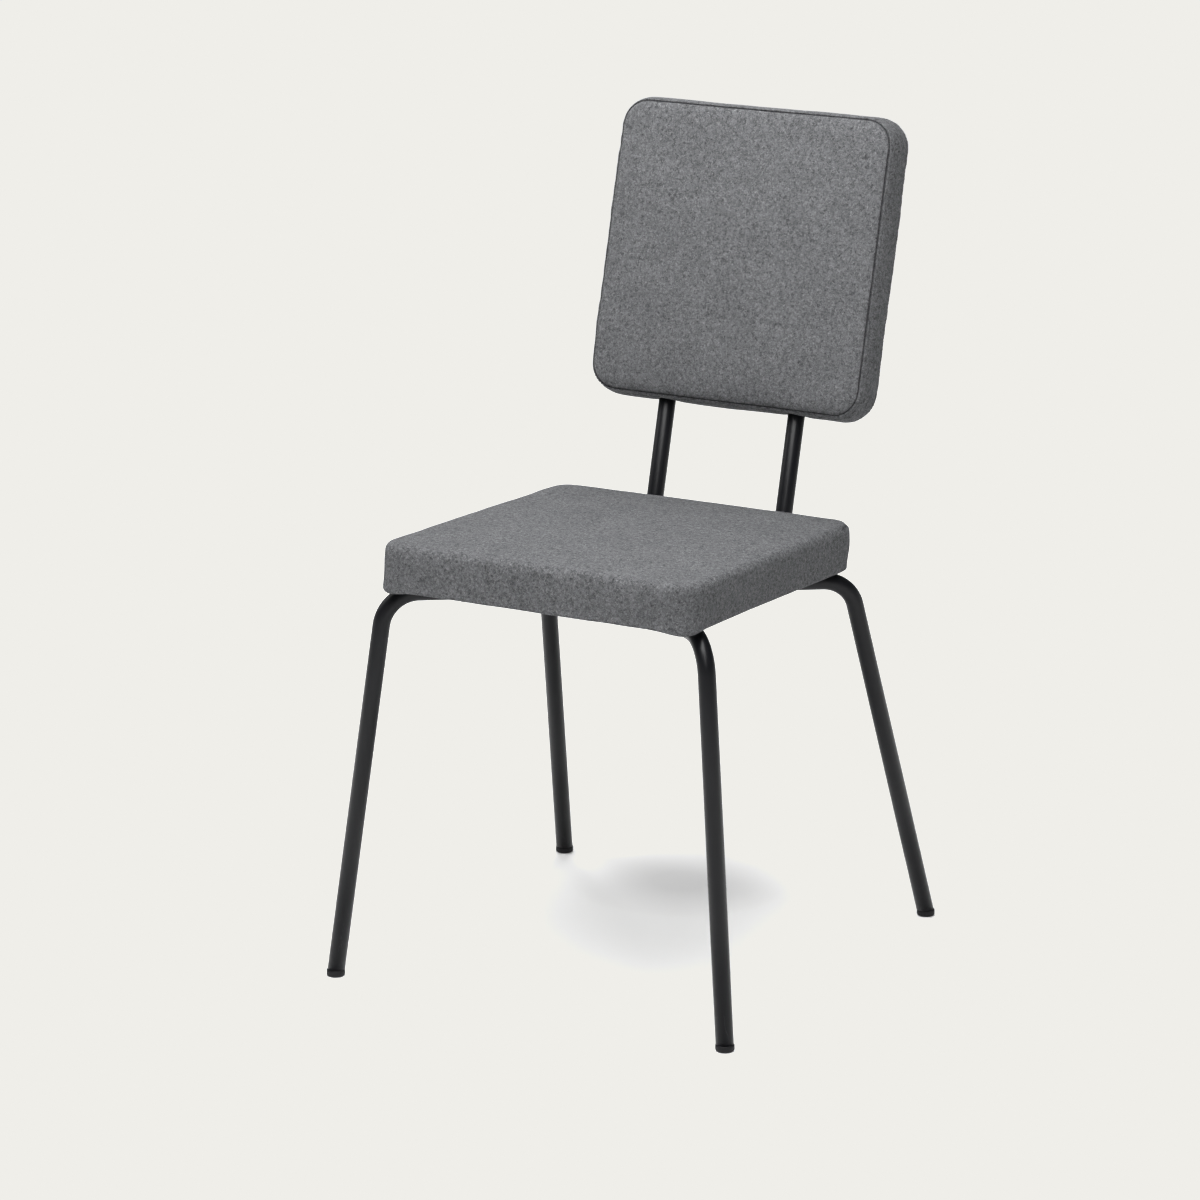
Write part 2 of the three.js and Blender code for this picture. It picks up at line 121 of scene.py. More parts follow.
# The felt's slight wander: wavelength, seed and size
SEAT_WANDER = ((55 * MM, 1, 0.4 * MM), (24 * MM, 7, 0.18 * MM))
BACK_WANDER = ((75 * MM, 2, 0.6 * MM), (28 * MM, 6, 0.2 * MM))

# Fasteners and threads
STITCH = {"length": 3.0 * MM, "pitch": 3.9 * MM, "radius": 0.33 * MM}
# A stitch's path: the share of its length, its lift out of the felt and its size, in thread radii
STITCH_PATH = ((0, -0.3, 0.7), (0.2, 0.55, 1), (0.5, 0.8, 1), (0.8, 0.55, 1), (1, -0.3, 0.7))
STAPLE = {"crown": 10 * MM, "wire": 0.9 * MM, "pitch": 24 * MM, "inset": 5 * MM}
LOW_HEAD = 1.6 * MM  # how much lower the seat screws' heads are than in the CAD
SOCKET = {"across": 4 * MM, "depth": 1.2 * MM}
# Radii and heights, in mm, from a screw's outer face to the root of its head
SCREW_HEAD = [(3.1, 0.0), (4.6, -0.2), (5.5, -0.6), (5.95, -1.2), (6.0, -1.6), (5.9, -1.8), (3.0, -1.8)]

# Studio. Everything brighter than the backdrop, a linear colour, is shown as the backdrop.
BACKDROP = (0.863, 0.855, 0.815)
PALE_LIGHT = (1, 1, 0.98)
SKY = {"band": (0.075, 0.14), "low": 0.9, "high": 0.08}
LIGHTS = {
    "key": {"azimuth": 15.6, "elevation": 65, "distance": 1.45, "size": (1.1, 1.1), "power": 46.5},
    "rear": {"azimuth": 215, "elevation": 62, "distance": 1.8, "size": (0.9, 0.9), "power": 25},
    "fill": {"azimuth": -80, "elevation": 30, "distance": 2.2, "size": (1.1, 1.1), "power": 10},
    "front": {"azimuth": 27, "elevation": 33, "distance": 2.4, "size": (0.6, 0.6), "power": 9},
}
LIT_POINT = Vector((0, -0.04, 0.44))
FLOOR = {"colour": 0.8, "shade": Vector((-0.06, 0.18, 0)), "radius": 400, "height": -0.15 * MM}
# The floor's glow is painted light: near the chair it lifts the chair's cast shadow and keeps it small,
# and further out it keeps the floor evenly pale.
FLOOR_GLOW = ((0.03, 0.13, 0.22), (0.35, 1.1, 0.58))  # from and to a radius, and how much is added


# Reading the CAD

def cad_points(*names):
    """The vertices of CAD nodes, one row each."""
    return np.array([v.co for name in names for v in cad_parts[name].data.vertices], float)


class Pad:
    """A cushion's axes and size, read from the board inside it and from its covers."""

    def __init__(self, board, covers, facing):
        points = cad_points(board)
        centred = points - points.mean(0)
        normal = np.linalg.eigh(centred.T @ centred)[1][:, 0]
        normal *= math.copysign(1, normal @ np.array(facing))
        across = np.array([1.0, 0.0, 0.0])
        self.axes = np.array([across, np.cross(normal, across), normal])
        self.origin = np.zeros(3)
        low, high = self.extent(*covers)
        self.origin = np.array([0, (low[1] + high[1]) / 2, high[2]]) @ self.axes
        self.low, self.high = self.extent(*covers)
        self.board_low, self.board_high = self.extent(board)
        covered = self.local(cad_points(*covers))
        lower, upper = (abs(covered[covered[:, 1] * side > 0, 0]).max() for side in (-1, 1))
        self.half = np.array([(lower + upper) / 2, (self.high[1] - self.low[1]) / 2])
        self.taper = (lower - upper) / (lower + upper)
        self.middle = np.zeros(2)

    def local(self, points):
        return (np.asarray(points, float) - self.origin) @ self.axes.T

    def world(self, points):
        return np.asarray(points, float) @ self.axes + self.origin

    def extent(self, *names):
        points = self.local(cad_points(*names))
        return points.min(0), points.max(0)

    def place(self, x, y, z):
        return Vector(self.world([x, y, z]))


BACK_COVERS = ("back_cover_front_panel", "back_cover_border", "back_cover_rear_panel")
seat = Pad("seat_board", ["seat_cover"], (0, 0, 1))
back = Pad("back_board", BACK_COVERS, (0, -1, 0))
back.half += np.array(BACK_SIZE["puff"])
back.middle[1] -= BACK_SIZE["sag"]

# The arms' centrelines lie at one height in the seat's axes, and the uprights' in the back's
ARM_HEIGHT = seat.extent("leg_tube_front_left_to_rear_right")[1][2] - TUBE_RADIUS
CROSSING_Y = FRONT_CORNER[1] + ((REAR_CORNER[1] - FRONT_CORNER[1]) * FRONT_CORNER[0]
                                / (FRONT_CORNER[0] + REAR_CORNER[0]))
upright_points = back.local(cad_points("upright_tube_right"))
upright_run = upright_points[upright_points[:, 1] > 0]
UPRIGHT_X, _, UPRIGHT_HEIGHT = (upright_run.max(0) + upright_run.min(0)) / 2


# Meshes and lines

def smoothstep(start, end, value):
    """Rises from 0 to 1 as the value goes from start to end, which may be the smaller of the two."""
    t = np.clip((np.asarray(value, float) - start) / (end - start), 0, 1)
    return t * t * (3 - 2 * t)


def bump(value, centre, width):
    return np.exp(-((np.asarray(value, float) - centre) / width) ** 2)


def round_angles(facets):
    return [2 * math.pi * k / facets for k in range(facets)]


def run_lengths(line):
    """The length along a line at each of its points."""
    return np.concatenate([[0], np.cumsum(np.linalg.norm(np.diff(line, axis=0), axis=1))])


def points_along(line, places):
    """The points at given lengths along a line, or the one point at a single length."""
    lengths = run_lengths(line)
    return np.array([np.interp(places, lengths, column) for column in line.T]).T


def make_object(name, vertices, faces, material):
    mesh = bpy.data.meshes.new(name)
    mesh.from_pydata([tuple(v) for v in vertices], [], faces)
    mesh.validate()
    mesh.update()
    mesh.polygons.foreach_set("use_smooth", [True] * len(mesh.polygons))
    mesh.materials.append(material)
    piece = bpy.data.objects.new(name, mesh)
    bpy.context.scene.collection.objects.link(piece)
    return piece


def make_closed(name, vertices, faces, material):
    """An object whose faces all look outward."""
    piece = make_object(name, vertices, faces, material)
    shape = bmesh.new()
    shape.from_mesh(piece.data)
    bmesh.ops.recalc_face_normals(shape, faces=shape.faces)
    shape.to_mesh(piece.data)
    shape.free()
    return piece


def settle(piece, replaced=()):
    """Makes a finished piece ride on the chair's one body, in place of CAD nodes."""
    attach(piece, BODY)
    if replaced:
        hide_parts(*replaced)


def add_piece(name, shape, material, replaced=()):
    settle(make_closed(name, *shape, material), replaced)


def subdivide(piece):
    modifier = piece.modifiers.new("subdivide", "SUBSURF")
    modifier.levels = modifier.render_levels = 1
    graph = bpy.context.evaluated_depsgraph_get()
    mesh = bpy.data.meshes.new_from_object(piece.evaluated_get(graph), depsgraph=graph)
    piece.modifiers.clear()
    piece.data = mesh
    mesh.polygons.foreach_set("use_smooth", [True] * len(mesh.polygons))


def vertex_rows(mesh, kind="co"):
    """The vertices' places ("co"), or their normals, one row each."""
    flat = np.empty(len(mesh.vertices) * 3)
    mesh.vertices.foreach_get(kind, flat)
    return flat.reshape(-1, 3)


def set_coordinates(mesh, points):
    mesh.vertices.foreach_set("co", np.asarray(points, float).ravel())
    mesh.update()


def set_attribute(piece, name, values):
    attribute = piece.data.attributes.new(name, "FLOAT", "POINT")
    attribute.data.foreach_set("value", np.asarray(values, np.float32))


def take_attribute(piece, name):
    """Reads an attribute of the vertices and removes it."""
    attribute = piece.data.attributes[name]
    values = np.empty(len(piece.data.vertices), np.float32)
    attribute.data.foreach_get("value", values)
    piece.data.attributes.remove(attribute)
    return values


# Sweeps and turned bodies

def sweep(path, radii, facets, closed=False):
    """Vertices and faces of a round body along a path. Its section keeps its turn along the path."""
    path = [Vector(p) for p in path]
    count = len(path)
    radii = radii if hasattr(radii, "__len__") else [radii] * count
    vertices, side = [], None
    for i, point in enumerate(path):
        before = path[i - 1] if closed or i else point
        after = path[(i + 1) % count] if closed or i + 1 < count else point
        along = (after - before).normalized()
        if side is None:
            side = along.orthogonal()
        side = (side - along * side.dot(along)).normalized()
        other = along.cross(side)
        for angle in round_angles(facets):
            vertices.append(point + (side * math.cos(angle) + other * math.sin(angle)) * radii[i])
    faces = []
    for i in range(count if closed else count - 1):
        for k in range(facets):
            near, far = i * facets, (i + 1) % count * facets
            faces.append((near + k, near + (k + 1) % facets, far + (k + 1) % facets, far + k))
    if not closed:
        faces.append(tuple(reversed(range(facets))))
        faces.append(tuple(range((count - 1) * facets, count * facets)))
    return vertices, faces


def bent_path(corners, bend):
    """A centreline of straight runs joined by round bends."""
    corners = [Vector(c) for c in corners]
    path = [corners[0]]
    for before, corner, after in zip(corners, corners[1:], corners[2:]):
        first, second = (corner - before).normalized(), (after - corner).normalized()
        turn = first.angle(second)
        axis = first.cross(second).normalized()
        start = corner - first * bend * math.tan(turn / 2)
        centre = start + axis.cross(first) * bend
        for step in range(BEND_STEPS + 1):
            spin = Matrix.Rotation(turn * step / BEND_STEPS, 3, axis)
            path.append(centre + spin @ (start - centre))
    path.append(corners[-1])
    return path


def joined(parts):
    """One mesh's vertices and faces from several."""
    vertices, faces = [], []
    for part_vertices, part_faces in parts:
        start = len(vertices)
        vertices += list(part_vertices)
        faces += [tuple(i + start for i in face) for face in part_faces]
    return vertices, faces


def lathe(profile, facets, foot, axis=Vector((0, 0, 1))):
    """A body turned about an axis, from (radius, height) points. It starts on the axis, and is closed
    flat if it ends off it. A radius may be a function of the angle."""
    turn = axis.to_track_quat("Z", "Y").to_matrix()
    vertices, faces, rings = [], [], []
    for radius, height in profile:
        if radius == 0:
            rings.append([len(vertices)])
            vertices.append(foot + turn @ Vector((0, 0, height)))
            continue
        rings.append(list(range(len(vertices), len(vertices) + facets)))
        for angle in round_angles(facets):
            reach = radius(angle) if callable(radius) else radius
            spoke = Vector((reach * math.cos(angle), reach * math.sin(angle), height))
            vertices.append(foot + turn @ spoke)
    for low, high in zip(rings, rings[1:]):
        for k in range(facets):
            corners = [low[k % len(low)], low[(k + 1) % len(low)],
                       high[(k + 1) % len(high)], high[k % len(high)]]
            faces.append(tuple(dict.fromkeys(corners)))
    if len(rings[-1]) > 1:
        faces.append(tuple(rings[-1]))
    return vertices, faces


# Materials

class Nodes:
    """A material or world in the making. Textures read the object's own coordinates, in metres. A link
    takes a socket, a number or a colour."""

    def __init__(self, name, kind=bpy.data.materials, shader="Principled BSDF"):
        self.owner = kind.new(name)
        self.owner.use_nodes = True
        self.tree = self.owner.node_tree
        self.shader = self.tree.nodes[shader]
        self.places = self.node("ShaderNodeTexCoord").outputs
        self.position = self.places["Object"]

    def node(self, kind, **settings):
        made = self.tree.nodes.new(kind)
        for key, value in settings.items():
            setattr(made, key, value)
        return made

    def link(self, source, socket):
        if isinstance(source, bpy.types.NodeSocket):
            self.tree.links.new(source, socket)
        else:
            socket.default_value = (*source, 1) if isinstance(source, tuple) else source

    def stretched(self, scale, turn=(0, 0, 0)):
        mapping = self.node("ShaderNodeMapping")
        self.link(self.position, mapping.inputs["Vector"])
        mapping.inputs["Scale"].default_value = scale
        mapping.inputs["Rotation"].default_value = turn
        return mapping.outputs["Vector"]

    def height(self, place):
        split = self.node("ShaderNodeSeparateXYZ")
        self.link(place, split.inputs[0])
        return split.outputs["Z"]

    def texture(self, kind, output, vector=None, settings=None, **inputs):
        made = self.node(kind, **(settings or {}))
        self.link(vector or self.position, made.inputs["Vector"])
        for key, value in inputs.items():
            made.inputs[key].default_value = value
        return made.outputs[output]

    def noise(self, scale, detail=2.0, roughness=0.5, distortion=0.0, vector=None):
        return self.texture("ShaderNodeTexNoise", "Fac", vector, Scale=scale, Detail=detail,
                            Roughness=roughness, Distortion=distortion)

    def wave(self, scale, direction):
        bands = {"bands_direction": direction}
        return self.texture("ShaderNodeTexWave", "Fac", settings=bands, Scale=scale)

    def math(self, operation, first, second=0.0):
        made = self.node("ShaderNodeMath", operation=operation)
        for socket, value in zip(made.inputs, (first, second)):
            self.link(value, socket)
        return made.outputs[0]

    def range(self, value, low, high, to_low=0.0, to_high=1.0):
        made = self.node("ShaderNodeMapRange")
        for socket, given in zip(made.inputs, (value, low, high, to_low, to_high)):
            self.link(given, socket)
        return made.outputs["Result"]

    def strands(self, value, width):
        """Thin curved lines, where a noise passes through its middle value."""
        return self.range(self.math("ABSOLUTE", self.math("SUBTRACT", value, 0.5)), 0, width, 1, 0)

    def mix(self, share, first, second):
        made = self.node("ShaderNodeMix", data_type="RGBA")
        self.link(share, made.inputs["Factor"])
        self.link(first, made.inputs[6])
        self.link(second, made.inputs[7])
        return made.outputs[2]

    def finish(self, **inputs):
        for key, value in inputs.items():
            self.link(value, self.shader.inputs[key.replace("_", " ")])
        return self.owner

    def surface(self, colour, roughness, height, depth, **others):
        """Finishes a material whose surface is bumped by a height, to a depth in mm."""
        bump = self.node("ShaderNodeBump")
        bump.inputs["Strength"].default_value = 1.0
        bump.inputs["Distance"].default_value = depth * MM
        self.link(height, bump.inputs["Height"])
        return self.finish(Base_Color=colour, Roughness=roughness, Normal=bump.outputs["Normal"], **others)


def felt_material():
    """Heathered wool felt: dark and pale fibres matted together, with painted shade in its seams, folds
    and dents.
    """
    m = Nodes("wool_felt")
    tufts = m.noise(300, detail=3.5, roughness=0.68, distortion=0.9)
    grain = m.noise(1300, detail=2, roughness=0.6)
    clouds = m.noise(26, detail=3, roughness=0.55)
    pale = m.strands(m.noise(210, detail=2.5, roughness=0.55, distortion=2.2), 0.042)
    pale = m.math("MULTIPLY", pale, m.range(m.noise(420, detail=1), 0.43, 0.58))
    across = m.stretched((1, 0.55, 1.3))
    pale_short = m.strands(m.noise(430, detail=2, distortion=2.0, vector=across), 0.05)
    slanting = m.stretched((0.6, 1.3, 1), (0.4, 0.8, 0.3))
    dark = m.strands(m.noise(260, detail=2.5, roughness=0.6, distortion=1.8, vector=slanting), 0.045)
    body = m.math("ADD", m.math("MULTIPLY", tufts, 0.8), m.math("MULTIPLY", grain, 0.2))
    fibres = m.math("MAXIMUM", m.math("MULTIPLY", pale, 0.75), m.math("MULTIPLY", pale_short, 0.3))
    colour = m.mix(m.range(body, 0.38, 0.62), FELT_SHADES["dark"], FELT_SHADES["pale"])
    colour = m.mix(m.math("MULTIPLY", dark, 0.28), colour, FELT_SHADES["fleck"])
    colour = m.mix(fibres, colour, FELT_SHADES["fibre"])
    colour = m.mix(m.range(clouds, 0.3, 0.7, 0, 0.14), colour, FELT_SHADES["fleck"])
    # Painted shade: the felt is darkened down in its seams, folds and dents, where shade would fall.
    painted_shade_share = m.node("ShaderNodeAttribute", attribute_name="painted_shade").outputs["Fac"]
    colour = m.mix(painted_shade_share, colour, FELT_SHADES["painted_shade"])
    nap = m.math("ADD", m.math("MULTIPLY", pale, 0.2), m.math("MULTIPLY", grain, 0.25))
    nap = m.math("ADD", m.math("MULTIPLY", tufts, 0.9), nap)
    return m.surface(colour, m.range(tufts, 0.3, 0.7, 0.98, 0.86), nap, 1.1, Sheen_Weight=0.04,
                     Sheen_Roughness=0.5, Sheen_Tint=(0.75, 0.76, 0.8), Specular_IOR_Level=0.08)


def powder_coat_material():
    """Satin black powder coat: a fine even texture, a little uneven in gloss, scuffed near the floor."""
    m = Nodes("powder_coat")
    texture = m.noise(1700, detail=2, roughness=0.5)
    peel = m.noise(260, detail=1)
    gloss = m.noise(14, detail=3, roughness=0.6)
    scuffs = m.strands(m.noise(60, detail=3, distortion=1.2, vector=m.stretched((1, 1, 0.25))), 0.006)
    wear = m.math("MULTIPLY", scuffs, m.range(m.height(m.position), 0.0, 0.09, 0.5, 0.0))
    colour = m.mix(m.range(gloss, 0.3, 0.7), (0.0034, 0.0035, 0.0044), (0.0052, 0.0054, 0.0066))
    colour = m.mix(wear, colour, (0.075, 0.077, 0.08))
    height = m.math("ADD", m.math("MULTIPLY", texture, 0.5), m.math("MULTIPLY", peel, 0.5))
    return m.surface(colour, m.range(gloss, 0.3, 0.7, 0.31, 0.39), height, 0.05, Specular_IOR_Level=0.17)


def glide_material():
    """Black moulded plastic, matt, rubbed paler round its lower edge."""
    m = Nodes("glide_plastic")
    grain = m.noise(900, detail=3)
    rubbed = m.math("MULTIPLY", m.range(m.height(m.position), 0.0, 0.0022, 1, 0),
                    m.range(m.noise(240, detail=3), 0.4, 0.65))
    colour = m.mix(rubbed, (0.0065, 0.0065, 0.0075), (0.03, 0.03, 0.031))
    return m.surface(colour, m.range(grain, 0.3, 0.7, 0.5, 0.62), grain, 0.04, Specular_IOR_Level=0.2)


def thread_material():
    """Twisted polyester sewing thread."""
    m = Nodes("thread")
    twist = m.wave(900, "DIAGONAL")
    colour = m.mix(twist, (0.035, 0.036, 0.039), (0.085, 0.087, 0.092))
    return m.surface(colour, m.range(m.noise(1200), 0.3, 0.7, 0.5, 0.7), twist, 0.06, Sheen_Weight=0.2)


def lining_material():
    """Black spunbonded cloth: pressed with a fine pattern of dimples."""
    m = Nodes("dust_cover_cloth")
    dimples = m.texture("ShaderNodeTexVoronoi", "Distance", Scale=620)
    fibres = m.strands(m.noise(500, detail=3, distortion=1.5), 0.05)
    colour = m.mix(m.math("MULTIPLY", fibres, 0.5), (0.012, 0.012, 0.013), (0.045, 0.045, 0.047))
    height = m.math("ADD", m.range(dimples, 0.1, 0.5), m.math("MULTIPLY", fibres, 0.4))
    return m.surface(colour, m.range(dimples, 0.0, 0.6, 0.7, 0.95), height, 0.12, Sheen_Weight=0.15)


def plywood_material():
    """Birch plywood: pale veneer with long grain, and glue lines on its edges."""
    m = Nodes("plywood")
    grain = m.noise(60, detail=5, roughness=0.65, distortion=0.4, vector=m.stretched((9, 0.7, 1)))
    colour = m.mix(m.range(grain, 0.3, 0.7), (0.60, 0.41, 0.22), (0.44, 0.27, 0.13))
    colour = m.mix(m.range(m.wave(210, "Z"), 0.9, 1.0, 0, 0.25), colour, (0.25, 0.14, 0.06))
    return m.surface(colour, m.range(grain, 0.3, 0.7, 0.55, 0.72), grain, 0.08)


def plated_material(name, scale, start, shades, gloss, metallic):
    """Plated steel, faintly mottled in its shade and gloss."""
    m = Nodes(name)
    mottle = m.noise(scale, detail=4, roughness=0.6)
    colour = m.mix(m.range(mottle, start, 0.7), *shades)
    return m.surface(colour, m.range(mottle, 0.3, 0.7, *gloss), mottle, 0.02, Metallic=metallic)


felt = felt_material()
powder_coat = powder_coat_material()
glide_plastic = glide_material()
thread = thread_material()
lining = lining_material()
plywood = plywood_material()
zinc = plated_material("zinc", 350, 0.3, ((0.42, 0.43, 0.45), (0.60, 0.61, 0.63)), (0.26, 0.42), 1.0)
black_zinc = plated_material("black_zinc", 420, 0.35, ((0.012, 0.012, 0.014), (0.035, 0.036, 0.039)),
                             (0.34, 0.5), 0.6)


# Cushions

def ring(pad, inset, corner, taper=0.0):
    """One closed line round a cushion, drawn in from its outline, with its points closer at the corners.
    It starts at the middle of the front (or lower) right corner and runs counter-clockwise."""
    half = pad.half - inset
    radius = max(corner - inset, 8 * MM)
    arc = radius * math.pi / 4
    points = []
    for turn in range(4):
        outward, along = half[turn % 2], half[(turn + 1) % 2]
        straight = 2 * (along - radius)
        spin = Matrix.Rotation(turn * math.pi / 2, 2)
        for cell in range(SIDE_CELLS):
            share = cell / SIDE_CELLS
            share -= 0.45 * math.sin(2 * math.pi * share) / (2 * math.pi)
            distance = share * (2 * arc + straight)
            run = min(max(distance - arc, 0), straight)
            angle = (distance - arc - run) / radius
            points.append(spin @ Vector((outward - radius + radius * math.cos(angle),
                                         radius - along + run + radius * math.sin(angle))))
    points = np.array([tuple(p) for p in points])
    points[:, 0] *= 1 - taper * points[:, 1] / pad.half[1]
    return points + pad.middle


def filled(line):
    """Points that fill the inside of a ring with a square grid, row by row. They keep its edge out."""
    n = SIDE_CELLS
    right, top = line[:n + 1], line[n:2 * n + 1][::-1]
    left, bottom = line[2 * n:3 * n + 1][::-1], np.vstack([line[3 * n:], line[:1]])
    s = np.arange(1, n)[None, :, None] / n
    t = np.arange(1, n)[:, None, None] / n
    inner = slice(1, n)
    across = (1 - s) * left[inner, None] + s * right[inner, None]
    upward = (1 - t) * bottom[None, inner] + t * top[None, inner]
    corners = ((1 - s) * (1 - t) * bottom[0] + s * (1 - t) * bottom[-1]
               + (1 - s) * t * top[0] + s * t * top[-1])
    return (across + upward - corners).reshape(-1, 2)


def lid_faces(ring_start, grid_start, face_up):
    """Faces of a filled ring, whose own points start at ring_start."""
    n = SIDE_CELLS

    def index(i, j):
        if i == n:
            return ring_start + j
        if j == n:
            return ring_start + 2 * n - i
        if i == 0:
            return ring_start + 3 * n - j
        if j == 0:
            return ring_start + (3 * n + i) % AROUND
        return grid_start + (j - 1) * (n - 1) + i - 1

    faces = []
    for i in range(n):
        for j in range(n):
            face = (index(i, j), index(i + 1, j), index(i + 1, j + 1), index(i, j + 1))
            faces.append(face if face_up else face[::-1])
    return faces


def boxed_shape(pad, corner, taper, section, face, floor):
    """A closed cushion from its (inset, height) rings, from its face out and round to its underside. A
    height is a number or a function of points, as face and floor are for the two lids."""
    rings = []
    for inset, height in section:
        line = ring(pad, inset, corner, taper)
        heights = height(line) if callable(height) else np.full(len(line), height)
        rings.append(np.column_stack([line, heights]))
    top, bottom = filled(rings[0][:, :2]), filled(rings[-1][:, :2])
    lids = [np.column_stack([top, face(top)]), np.column_stack([bottom, floor(bottom)])]
    faces = []
    for i in range(len(rings) - 1):
        for k in range(AROUND):
            near, far, after = i * AROUND, (i + 1) * AROUND, (k + 1) % AROUND
            faces.append((near + k, far + k, far + after, near + after))
    lid_start = len(rings) * AROUND
    faces += lid_faces(0, lid_start, True)
    faces += lid_faces(lid_start - AROUND, lid_start + len(top), False)
    return np.vstack([*rings, *lids]), faces


def rounded(radius, height, degrees):
    """(inset, height) points of a rounded edge, whose centre's height is given. 90 degrees is up."""
    angles = [math.radians(angle) for angle in degrees]
    return [(radius * (1 - math.cos(angle)), height + radius * math.sin(angle)) for angle in angles]


def domed(pad, points, inset, power):
    """A dome over a pad: 1 at its middle, falling to 0 at an inset from its sides."""
    x, y = np.abs((points - pad.middle) / (pad.half - inset)).clip(0, 1).T
    return (1 - x ** power) * (1 - y ** power)


def smooth_section(points, rounds=3):
    """A section with its corners cut round, and its ends kept."""
    for _ in range(rounds):
        before, after = points[:-1], points[1:]
        cut = np.stack([before * 0.75 + after * 0.25, before * 0.25 + after * 0.75], 1).reshape(-1, 2)
        points = np.vstack([points[:1], cut[1:-1], points[-1:]])
    return points


def held_share(distance, grip):
    """How firmly felt is held as it swells, at a distance from an edge or seam."""
    firm, less, near, far = grip
    return firm - less * smoothstep(near, far, distance)


def swell(piece, held):
    """Lets the felt swell under its stuffing: a cloth simulation with pressure. Each point is held back
    in proportion to held, and none moves further than a cap from where it starts."""
    start = vertex_rows(piece.data)
    group = piece.vertex_groups.new(name="held")
    for index, weight in enumerate(held):
        group.add([index], float(weight), "REPLACE")
    cloth = piece.modifiers.new("cloth", "CLOTH")
    for key, value in CLOTH.items():
        setattr(cloth.settings, key, value)
    cloth.settings.vertex_group_mass = group.name
    cloth.settings.effector_weights.gravity = 0
    cloth.collision_settings.use_collision = False
    cloth.point_cache.frame_start, cloth.point_cache.frame_end = 1, CLOTH_FRAMES
    scene = bpy.context.scene
    for step in range(1, CLOTH_FRAMES + 1):
        scene.frame_set(step)
        bpy.context.view_layer.update()
    graph = bpy.context.evaluated_depsgraph_get()
    moved = vertex_rows(piece.evaluated_get(graph).data) - start
    piece.modifiers.clear()
    piece.vertex_groups.clear()
    scene.frame_set(1)
    length = np.linalg.norm(moved, axis=1, keepdims=True)
    moved *= np.tanh(length / SWELL_CAP) * SWELL_CAP / np.maximum(length, 1e-9)
    set_coordinates(piece.data, start + moved)


def unevenness(points, wavelength, seed):
    """A smooth wander between about -1 and 1."""
    shift = Vector((seed * 7.3, seed * 3.1, seed * 5.7))
    return np.array([noise.noise(Vector(p) / wavelength + shift) for p in points]) * 1.6


def wandered(points, outward, waves, free=1.0):
    """Points moved in and out by a smooth wander, since felt is never quite even."""
    wander = sum(unevenness(points, length, seed) * size for length, seed, size in waves)
    return points + outward * (wander * free)[:, None]


def drawn_in(points, outward, line, free):
    """Points pulled in along a fold, and how deep in it each one is, from 0 to 1."""
    line = np.array(line)
    nearest = np.full(len(points), np.inf)
    for start, end in zip(line, line[1:]):
        run = end - start
        share = np.clip((points - start) @ run / (run @ run), 0, 1)
        nearest = np.minimum(nearest, np.linalg.norm(points - start - share[:, None] * run, axis=1))
    share = bump(nearest, 0, FOLD["width"])
    return points - outward * (FOLD["depth"] * share)[:, None], share * free


# Seat cushion: one felt top drawn down over the foam and wrapped under the board

def seat_section(face):
    """The seat's (inset, height) rings: face, edge, side, underside, and up into the slot round its
    board. Also which ring is the first of the underside, and the slot's height."""
    edge, low_edge = SEAT_SIZE["edge"], SEAT_SIZE["low_edge"]
    base = seat.low[2]
    low_side, high_side = base + low_edge, -SEAT_SIZE["crown"] - edge
    section = [(inset * MM, face) for inset in SEAT_FACE_RINGS]
    section += rounded(edge, high_side, range(90, -1, -10))
    section += [(0, height) for height in np.linspace(high_side, low_side, 9)[1:-1]]
    section += rounded(low_edge, low_side, range(0, -91, -18))
    under = [height for _, height in section].index(base)

    side = seat.high[0] - seat.board_high[0] - SLOT["side"]
    low, high = seat.board_low[2] - SLOT["below"], seat.board_high[2] + SLOT["above"]
    mouth, cut = SLOT["mouth"], SLOT["cut"]
    section += [(inset * MM, base) for inset in (7, 12, 18)] + [(mouth - cut, base)]
    section += [(mouth, base + 0.5 * MM), (mouth, low - 0.3 * MM), (mouth - cut, low)]
    section += [(18 * MM, low), (10 * MM, low), (side + cut, low), (side, low + cut)]
    section += [(side, (low + high) / 2), (side, high - cut), (side + cut, high)]
    section += [(inset * MM, high) for inset in (12, 26, 44)]
    section = [(inset + START_INSET if callable(height) or height > low_side else inset, height)
               for inset, height in section]
    return section, under, high


def make_seat():
    def face(points):
        dome = domed(seat, points, SEAT_SIZE["edge"], SEAT_SIZE["power"])
        return -SEAT_SIZE["crown"] + (SEAT_SIZE["crown"] - SEAT_SIZE["flatter"]) * dome

    def slot_roof(points):
        return np.full(len(points), slot_height)

    section, under, slot_height = seat_section(face)
    vertices, faces = boxed_shape(seat, SEAT_SIZE["corner"], seat.taper, section, face, slot_roof)
    cushion = make_closed("seat_cushion", vertices, faces, felt)
    inner = np.zeros(len(vertices), bool)
    inner[under * AROUND:len(section) * AROUND] = True
    inner[len(section) * AROUND + (SIDE_CELLS - 1) ** 2:] = True
    from_side = np.minimum(*(seat.half - np.abs(vertices[:, :2])).T)
    swell(cushion, np.where(inner, 1.0, held_share(from_side, SEAT_GRIP)))
    set_attribute(cushion, "inner", inner)
    subdivide(cushion)
    finish_seat(cushion)


